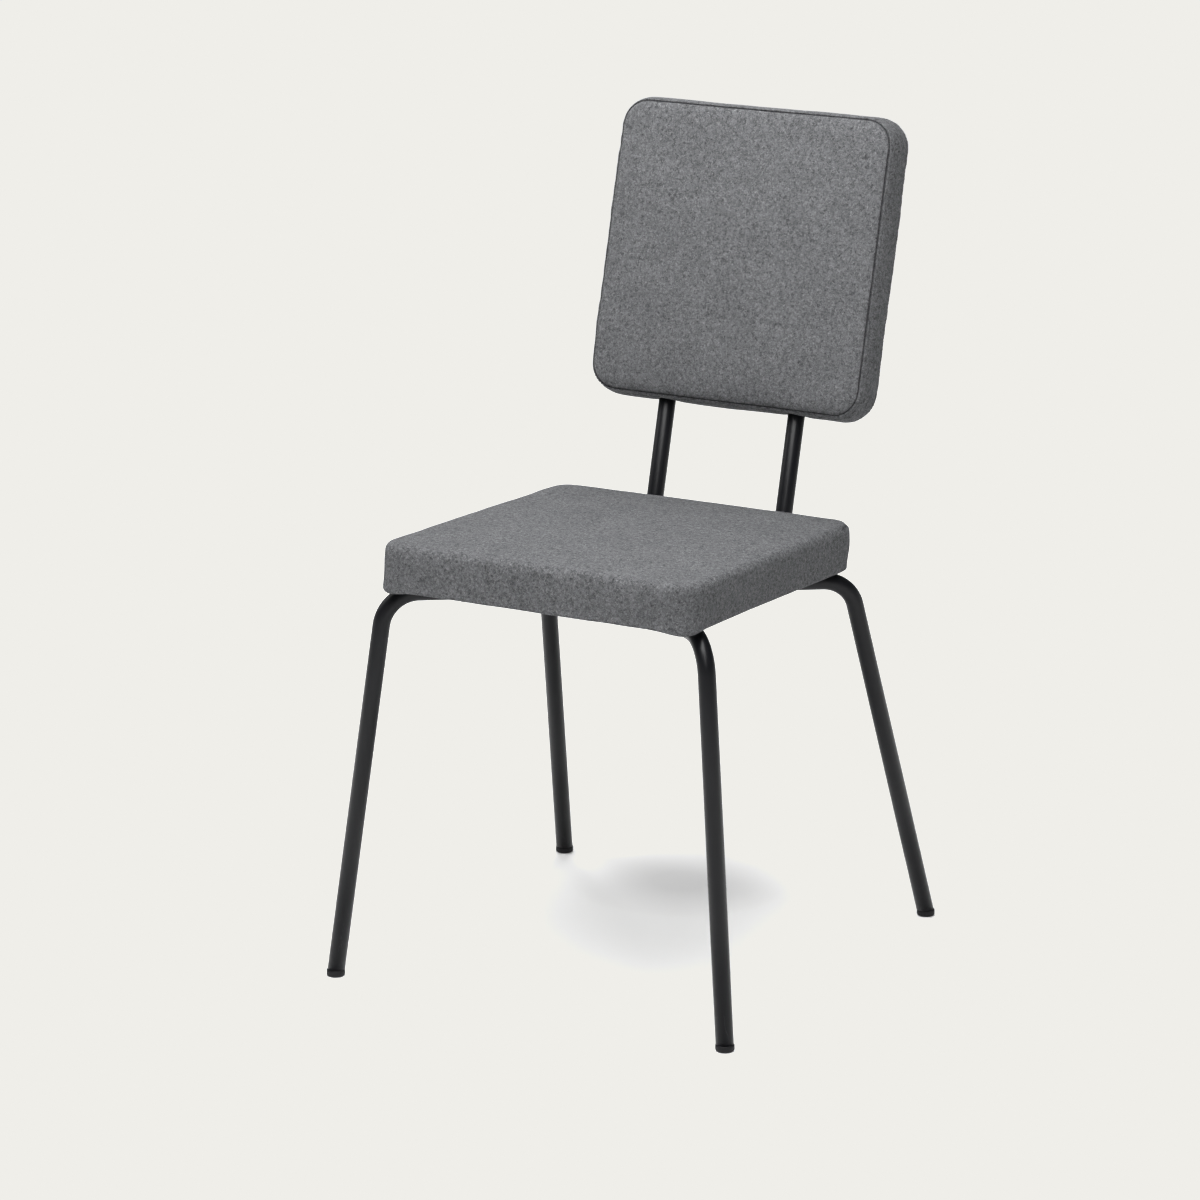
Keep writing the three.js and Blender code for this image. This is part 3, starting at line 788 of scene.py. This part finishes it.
def finish_seat(cushion):
    """Adds what stapled felt shows: a slight wander, lower front corners that hang down and out, lower
    rear corners drawn in, a lowered rim, sides that bulge, and folds at the rear corners with painted
    shade down in them."""
    points, outward = vertex_rows(cushion.data), vertex_rows(cushion.data, "normal")
    free = 1 - take_attribute(cushion, "inner")
    points = wandered(points, outward, SEAT_WANDER, free)
    base = seat.low[2]
    low = smoothstep(base + LOW_CORNERS["height"], base, points[:, 2])
    away = np.abs(points[:, :2]) - (seat.half - LOW_CORNERS["inset"])
    corners = low * bump(np.linalg.norm(away, axis=1), 0, LOW_CORNERS["reach"]) * free
    front = points[:, 1] < 0
    down, out = (np.where(front, *moves) for moves in zip(*(LOW_CORNER_MOVES[end] for end in ENDS)))
    points[:, 2] -= down * corners
    points += outward * (out * corners)[:, None]
    inset = np.minimum(*(seat.half - np.abs(points[:, :2])).T)
    rim = smoothstep(base + RIM_HEIGHT[0], base + RIM_HEIGHT[1], points[:, 2])
    points[:, 2] -= SEAT_SIZE["rim_drop"] * rim * smoothstep(*RIM_INSET, inset)
    upright = smoothstep(0.6, 0.95, np.hypot(*outward[:, :2].T))
    bulge = bump(points[:, 2], base * 0.52, SEAT_SIZE["bulge_width"]) * upright
    points += outward * (SEAT_SIZE["bulge"] * bulge * free)[:, None]
    painted_shade = np.zeros(len(points))
    for _, side in SIDES:
        for line in rear_corner_folds(side):
            points, share = drawn_in(points, outward, line, free)
            # Painted shade down in each fold.
            painted_shade = np.maximum(painted_shade, share * FOLD["shade"])
    set_attribute(cushion, "painted_shade", painted_shade)
    set_coordinates(cushion.data, seat.world(points))
    settle(cushion, ("seat_cover", "seat_foam"))


def rear_corner_folds(side):
    """Two folds at a rear corner of the seat: one down the corner, one forward under the top edge."""
    x, y = seat.half * (1 - seat.taper, 1)
    arc, rim = SEAT_SIZE["corner"], -SEAT_SIZE["crown"]
    bend = arc * (1 - math.sqrt(0.5))
    corner_x, corner_y = x - bend, y - bend
    down = [(side * corner_x, corner_y, height * MM + rim) for height in (-8, -20, -44)]
    forward = [(side * (corner_x - 2.5 * MM), corner_y - 3 * MM, rim - 3.0 * MM),
               (side * (x - 3.6 * MM), y - 22 * MM, rim - 2.6 * MM),
               (side * (x - 1.6 * MM), y - 34 * MM, rim - 5.0 * MM)]
    return down, forward


# Back cushion: a front panel, a border strip and a rear panel sewn round soft foam

def back_section():
    """The (inset, height) line from the front face round the border to the rear face, and the lengths
    along it of the two seams."""
    line = smooth_section(np.array(PANEL_ROLL + BORDER + REAR_ROLL) * MM)
    lengths = run_lengths(line)
    ends = np.array([BORDER[0], BORDER[-1]]) * MM
    return line, [lengths[np.argmin(np.hypot(*(line - end).T))] for end in ends]


def make_back():
    line, (front_seam, rear_seam) = back_section()
    roll_inset = PANEL_ROLL[0][0] * MM

    def face(points):
        dome = domed(back, points, roll_inset, BACK_SIZE["power"])
        return PANEL_ROLL[0][1] * MM + (BACK_SIZE["crown"] - BACK_SIZE["flatter"]) * dome

    def rear_face(points):
        return REAR_ROLL[-1][1] * MM - BACK_SIZE["rear_crown"] * domed(back, points, roll_inset, 2)

    places = [front_seam + past * MM for past in SEAM_RINGS]
    places += [rear_seam - past * MM for past in reversed(SEAM_RINGS)]
    places = [place for place in places if 0 <= place <= run_lengths(line)[-1]]
    section = [(inset * MM, face) for inset in BACK_FACE_RINGS]
    section += [tuple(point) for point in points_along(line, places)]
    section += [(inset * MM, rear_face) for inset in BACK_REAR_RINGS]
    vertices, faces = boxed_shape(back, BACK_SIZE["corner"], 0.0, section, face, rear_face)
    cushion = make_closed("back_cushion", vertices, faces, felt)

    # How far along the line each point is, or -1 out on the faces
    along = np.full(len(vertices), -1.0)
    first = len(BACK_FACE_RINGS) * AROUND
    along[first:first + len(places) * AROUND] = np.repeat(places, AROUND)
    beside = np.minimum(np.abs(along - front_seam), np.abs(along - rear_seam))
    held = held_share(np.where(along < 0, 1.0, beside), BACK_GRIP)
    swell(cushion, np.where((along > front_seam) & (along < rear_seam), BACK_GRIP[0], held))
    set_attribute(cushion, "along", along)
    subdivide(cushion)
    finish_back(cushion, line, (front_seam, rear_seam))


def finish_back(cushion, line, seams):
    """Adds a slight wander, sides that swell at mid height and a front face that leans back near its foot;
    then what the sewing does: sunk seams with rolled edges, topstitched dents and puckers, with painted
    shade in the seams and dents."""
    points, outward = vertex_rows(cushion.data), vertex_rows(cushion.data, "normal")
    along = take_attribute(cushion, "along")
    points = wandered(points, outward, BACK_WANDER)
    share = ((points[:, :2] - back.middle) / back.half).clip(-1, 1)
    points[:, 0] += BACK_SIZE["belly"] * share[:, 0] * (1 - share[:, 1] ** 2)
    above_foot = points[:, 1] - back.middle[1] + back.half[1]
    low = (1 - above_foot / BACK_SIZE["droop_height"]).clip(0, 1) ** 2
    points[:, 2] -= BACK_SIZE["droop"] * low * smoothstep(-32 * MM, -14 * MM, points[:, 2])
    painted_shade = np.zeros(len(points))
    for seam, side in zip(seams, (1, -1)):
        past = np.where(along > 0, (along - seam) * side, 1.0) / MM
        shape = unevenness(points, PUCKER["length"], 3 + side) * PUCKER["depth"]
        shape *= bump(past, PUCKER["place"], PUCKER["width"])
        shape += sum(out * bump(past, place, width) for place, width, out in SEAM_SHAPE)
        points = points + outward * (shape * MM)[:, None]
        # Painted shade: the felt is darker down in each seam and along its topstitch dent.
        for place, width, shade in SEAM_SHADE:
            painted_shade = np.maximum(painted_shade, shade * bump(past, place, width))
    points, painted_shade = pull_in_round_tubes(points, outward, painted_shade)
    set_attribute(cushion, "painted_shade", painted_shade)
    set_coordinates(cushion.data, back.world(points))
    settle(cushion, (*BACK_COVERS, "back_foam_front", "back_foam_rear"))
    tree = BVHTree.FromPolygons([v.co for v in cushion.data.vertices],
                                [tuple(p.vertices) for p in cushion.data.polygons])
    for end, seam, side in zip(ENDS, seams, (1, -1)):
        inset, height = points_along(line, seam + side * TOPSTITCH)
        track = ring(back, inset, BACK_SIZE["corner"])
        track = back.world(np.column_stack([track, np.full(len(track), height)]))
        stitch_row(f"back_topstitch_{end}", tree, track)


def pull_in_round_tubes(points, outward, painted_shade):
    """Dents the border where the uprights come in through it, and paints shade in a ring round each."""
    under = smoothstep(-0.5, -0.9, outward[:, 1])
    for _, side in SIDES:
        away = np.hypot(points[:, 0] - side * UPRIGHT_X, points[:, 2] - UPRIGHT_HEIGHT) - TUBE_RADIUS
        near = bump(np.maximum(away, 0), 0, TUBE_DENT["width"]) * under
        points[:, 1] += TUBE_DENT["depth"] * near
        # Painted shade: a dark ring on the felt round each upright.
        shade = TUBE_DENT["shade"] * bump(away, 0, TUBE_DENT["shade_width"]) * under
        painted_shade = np.maximum(painted_shade, shade)
    return points, painted_shade


def stitch_row(name, tree, track):
    """Short threads laid end to end round a closed track, each dipping into the surface at its ends."""
    track = np.vstack([track, track[:1]])
    length = run_lengths(track)[-1]
    count = int(length // STITCH["pitch"])
    radius = STITCH["radius"]
    parts = []
    for k in range(count):
        path = []
        for share, lift, _ in STITCH_PATH:
            place = (k + 0.5) * length / count + (share - 0.5) * STITCH["length"]
            found, outward, _, _ = tree.find_nearest(Vector(points_along(track, place)))
            path.append(found + outward * radius * lift)
        parts.append(sweep(path, [radius * size for _, _, size in STITCH_PATH], 7))
    add_piece(name, joined(parts), thread)


# Tube frame

def slide_to_tube(point, along, through, through_along):
    """Where a line leaves a tube that it starts inside."""
    flat = along - through_along * along.dot(through_along)
    offset = point - through
    offset -= through_along * offset.dot(through_along)
    a, b, c = flat.dot(flat), 2 * flat.dot(offset), offset.dot(offset) - TUBE_RADIUS ** 2
    return point + along * ((-b + math.sqrt(max(b * b - 4 * a * c, 0))) / (2 * a))


def add_tube(node, path, coped_on=None, level_start=False, level_end=False):
    """A tube along a path, in place of a CAD node. Its start may be coped onto another tube's line, a
    point and a direction, and welded there. A level end is cut flat above its glide."""
    vertices, faces = sweep(path, TUBE_RADIUS, TUBE_FACETS)
    start, end = slice(0, TUBE_FACETS), slice(len(vertices) - TUBE_FACETS, len(vertices))
    first = (path[1] - path[0]).normalized()
    last = (path[-1] - path[-2]).normalized()
    if coped_on:
        vertices[start] = [slide_to_tube(v, first, *coped_on) for v in vertices[start]]
        add_weld(f"{node}_smooth".replace("tube", "weld"), vertices[start])
    for level, part, along in ((level_start, start, first), (level_end, end, last)):
        if level:
            cut = GLIDE["height"] + GLIDE["gap"]
            vertices[part] = [v + along * ((cut - v.z) / along.z) for v in vertices[part]]
    add_piece(f"{node}_smooth", (vertices, faces), powder_coat, (node,))


def add_weld(name, line):
    """A painted weld bead round a cope, laid down in overlapping drops."""
    dense = []
    for point, after in zip(line, line[1:] + line[:1]):
        dense += [point.lerp(after, step / 5) for step in range(5)]
    drops = 26
    radii = [WELD_RADIUS * (1 + 0.10 * math.sin(k * 2 * math.pi * drops / len(dense))
                            + 0.10 * noise.noise(p * 260)) for k, p in enumerate(dense)]
    add_piece(name, sweep(dense, radii, 12, closed=True), powder_coat)


def arm_place(corner, side, share=1.0):
    """A point along an arm, as a share of the way from the crossing to the arm's corner."""
    y = CROSSING_Y + (corner[1] - CROSSING_Y) * share
    return seat.place(side * corner[0] * share, seat.low[1] + y, ARM_HEIGHT)


def foot_place(name):
    """Where a leg's centreline ends: over the middle of its glide's sole, at half the glide's height."""
    vertices = cad_points(f"glide_{name}")
    sole = vertices[vertices[:, 2] < vertices[:, 2].min() + 0.1 * MM]
    x, y, _ = (sole.max(0) + sole.min(0)) / 2
    return Vector((x, y, GLIDE["height"] / 2))


def make_frame():
    corners = {"front": FRONT_CORNER, "rear": REAR_CORNER}
    top = {(end, name): arm_place(corners[end], side) for end in ENDS for name, side in SIDES}
    foot = {(end, name): foot_place(f"{end}_{name}") for end, name in top}
    crossing = seat.place(0, seat.low[1] + CROSSING_Y, ARM_HEIGHT)
    through = (top["rear", "right"] - top["front", "left"]).normalized()
    split = (top["rear", "left"] - top["front", "right"]).normalized()

    path = bent_path([foot["front", "left"], top["front", "left"], top["rear", "right"],
                      foot["rear", "right"]], LEG_BEND)
    add_tube("leg_tube_front_left_to_rear_right", path, level_start=True, level_end=True)
    for leg in (("front", "right"), ("rear", "left")):
        path = bent_path([crossing, top[leg], foot[leg]], LEG_BEND)
        add_tube("leg_tube_{}_{}".format(*leg), path, (crossing, through), level_end=True)

    for name, side in SIDES:
        start = arm_place(REAR_CORNER, side, UPRIGHT_X / REAR_CORNER[0])
        turn = seat.local(back.place(side * UPRIGHT_X, 0, UPRIGHT_HEIGHT))
        rise = seat.local(back.place(side * UPRIGHT_X, 1, UPRIGHT_HEIGHT)) - turn
        corner = back.place(side * UPRIGHT_X, (ARM_HEIGHT - turn[2]) / rise[2], UPRIGHT_HEIGHT)
        end = back.place(side * UPRIGHT_X, back.low[1] + UPRIGHT_RISE, UPRIGHT_HEIGHT)
        path = bent_path([start, corner, end], UPRIGHT_BEND)
        add_tube(f"upright_tube_{name}", path, (crossing, through if side > 0 else split))

    for leg, place in foot.items():
        add_glide("glide_{}_{}".format(*leg), Vector((place.x, place.y, 0)))


def add_glide(node, place):
    """A round plastic foot: a rounded sole, a straight collar and a small step at its top."""
    radius, height, edge = GLIDE["radius"], GLIDE["height"], GLIDE["edge"]
    sole = radius - edge
    profile = [(0, 0), (sole - 1 * MM, 0), (sole, 0.06 * MM)]
    for degrees in range(-75, 1, 15):
        angle = math.radians(degrees)
        profile.append((sole + edge * math.cos(angle), edge * (1 + math.sin(angle))))
    profile += [(radius, height - 1.0 * MM), (radius - 0.15 * MM, height - 0.4 * MM),
                (radius - 0.5 * MM, height - 0.1 * MM), (radius - 0.9 * MM, height), (0, height)]
    add_piece(f"{node}_smooth", lathe(profile, 48, place), glide_plastic, (node,))


# Under the seat

def make_dust_cover():
    """Black cloth stretched under the board, its edge folded under and stapled."""
    low, high = seat.extent("seat_dust_cover")
    inset, top, bottom = seat.high[0] - high[0], high[2], low[2]

    def underside(points):
        wander = unevenness(np.column_stack([points, np.zeros(len(points))]), 40 * MM, 5)
        return bottom + 0.35 * MM + 0.12 * MM * wander

    def upper(points):
        return np.full(len(points), top)

    section = [(run, upper) for run in (34, 20, 6, 0.5)]
    section += [(run, top - drop * MM) for run, drop in ((0.1, 0.15), (0, 0.35), (0.1, 0.55))]
    section += [(run, bottom) for run in (0.5, 3, 6, 7.6)]
    section += [(run, underside) for run in (8.2, 10, 20, 34)]
    section = [(inset + run * MM, height) for run, height in section]
    vertices, faces = boxed_shape(seat, SEAT_SIZE["corner"], seat.taper, section, upper, underside)
    cover = make_closed("dust_cover", seat.world(vertices), faces, lining)
    settle(cover, ("seat_dust_cover",))
    add_staples(inset + STAPLE["inset"], bottom)


def add_staples(inset, height):
    """Staples through the dust cover's folded edge, all round, except where the arms pass."""
    track = ring(seat, inset, SEAT_SIZE["corner"], seat.taper)
    half, wire = STAPLE["crown"] / 2, STAPLE["wire"] / 2
    parts = []
    for k in range(int(run_lengths(track)[-1] // STAPLE["pitch"])):
        place = (k + 0.5) * STAPLE["pitch"]
        start, end = points_along(track, [place - half, place + half])
        if over_arm((start + end) / 2):
            continue
        path = [seat.place(*start, height + wire), seat.place(*start, height - wire),
                seat.place(*end, height - wire), seat.place(*end, height + wire)]
        parts.append(sweep(path, wire, 8))
    add_piece("dust_cover_staples", joined(parts), black_zinc)


def over_arm(point):
    """Is a point of the underside within reach of one of the four arms?"""
    start = np.array([0, seat.low[1] + CROSSING_Y])
    for end_x, end_y in (FRONT_CORNER, REAR_CORNER):
        for _, side in SIDES:
            run = np.array([side * end_x, seat.low[1] + end_y]) - start
            share = np.clip((point - start) @ run / (run @ run), 0, 1)
            if np.linalg.norm(point - start - share * run) < TUBE_RADIUS + STAPLE["crown"] / 2:
                return True
    return False


def add_seat_screws():
    """Button heads with a hexagon socket, under the arms."""
    down = Vector(-seat.axes[2])
    for end in ENDS:
        for name, _ in SIDES:
            node = f"seat_screw_{end}_{name}"
            low, high = seat.extent(node)
            middle = (low + high) / 2
            face = low[2] + LOW_HEAD
            shape = screw_shape(seat.place(middle[0], middle[1], face), down, high[2] - face)
            add_piece(f"{node}_detailed", shape, black_zinc, (node,))


def screw_shape(foot, down, length):
    """A low-headed screw whose head's outer face is at foot, with its axis along down."""
    def socket(angle):
        aside = (angle + math.pi / 6) % (math.pi / 3) - math.pi / 6
        return SOCKET["across"] / 2 / math.cos(aside)

    profile = [(0, -SOCKET["depth"]), (socket, -SOCKET["depth"]), (socket, -0.1 * MM)]
    profile += [(radius * MM, height * MM) for radius, height in SCREW_HEAD]
    profile += [(SCREW_HEAD[-1][0] * MM, 1 * MM - length), (2.1 * MM, -length)]
    return lathe(profile, 36, foot, down)


def finish_hidden_nodes():
    """Materials for the CAD nodes that stay as they are, inside the cushions."""
    for name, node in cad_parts.items():
        if node.hide_render:
            continue
        node.data.materials.clear()
        node.data.materials.append(plywood if name.endswith("board") else zinc)


# Studio

def make_studio():
    scene = bpy.context.scene
    show_backdrop_even(scene.view_settings)
    scene.world = make_sky()
    radius = FLOOR["radius"]
    corners = [(radius * math.cos(a), radius * math.sin(a), FLOOR["height"]) for a in round_angles(96)]
    make_object("studio_floor", corners, [tuple(range(96))], floor_material())
    for name, given in LIGHTS.items():
        light = bpy.data.lights.new(name, "AREA")
        light.shape = "RECTANGLE"
        light.size, light.size_y = given["size"]
        light.energy = given["power"]
        lamp = bpy.data.objects.new(name, light)
        scene.collection.objects.link(lamp)
        look_back(lamp, LIT_POINT, given["azimuth"], given["elevation"], given["distance"])
    data = bpy.data.cameras.new("camera")
    data.lens, data.sensor_width = CAMERA_LENS, 36
    data.clip_end = 200
    camera = bpy.data.objects.new("camera", data)
    scene.collection.objects.link(camera)
    look_back(camera, CAMERA_AIM, CAMERA_AZIMUTH, CAMERA_ELEVATION, CAMERA_DISTANCE)
    scene.camera = camera


def look_back(thing, aim, azimuth, elevation, distance):
    """Places a lamp or camera to face a point. Azimuth 0 is in front of the chair, 90 to its right."""
    azimuth, elevation = math.radians(azimuth), math.radians(elevation)
    level = math.cos(elevation)
    away = Vector((math.sin(azimuth) * level, -math.cos(azimuth) * level, math.sin(elevation)))
    thing.location = aim + away * distance
    thing.rotation_euler = away.to_track_quat("Z", "Y").to_euler()


def show_backdrop_even(view):
    """The backdrop is exposed to its limit, as in a catalogue: its colour is the brightest shown."""
    view.view_transform = "Standard"
    view.use_curve_mapping = True
    mapping = view.curve_mapping
    mapping.extend = "HORIZONTAL"
    for curve, limit in zip(mapping.curves, BACKDROP):
        curve.points[-1].location = (limit, limit)
        for point in curve.points:
            point.handle_type = "VECTOR"
    mapping.update()


def make_sky():
    """A dim studio above a pale band at the horizon, which carries the floor on."""
    m = Nodes("studio", bpy.data.worlds, "Background")
    strength = m.range(m.height(m.places["Generated"]), *SKY["band"], SKY["low"], SKY["high"])
    return m.finish(Strength=strength, Color=PALE_LIGHT)


def floor_material():
    """Matt white card that glows. Near the chair the glow is painted light, which lifts the chair's cast
    shadow; away from it the floor stays pale as the lights fall off.
    """
    m = Nodes("studio_floor")
    offset = m.node("ShaderNodeVectorMath", operation="DISTANCE")
    m.link(m.position, offset.inputs[0])
    offset.inputs[1].default_value = FLOOR["shade"]
    glow = 0.0
    # Painted light: the floor glows more the further it is from the middle of the chair's shadow.
    for near, far, amount in FLOOR_GLOW:
        glow = m.math("ADD", glow, m.range(offset.outputs["Value"], near, far, 0, amount))
    return m.finish(Base_Color=(FLOOR["colour"],) * 3, Roughness=1.0, Specular_IOR_Level=0.0,
                    Emission_Color=PALE_LIGHT, Emission_Strength=glow)


make_seat()
make_back()
make_frame()
make_dust_cover()
add_seat_screws()
finish_hidden_nodes()
make_studio()
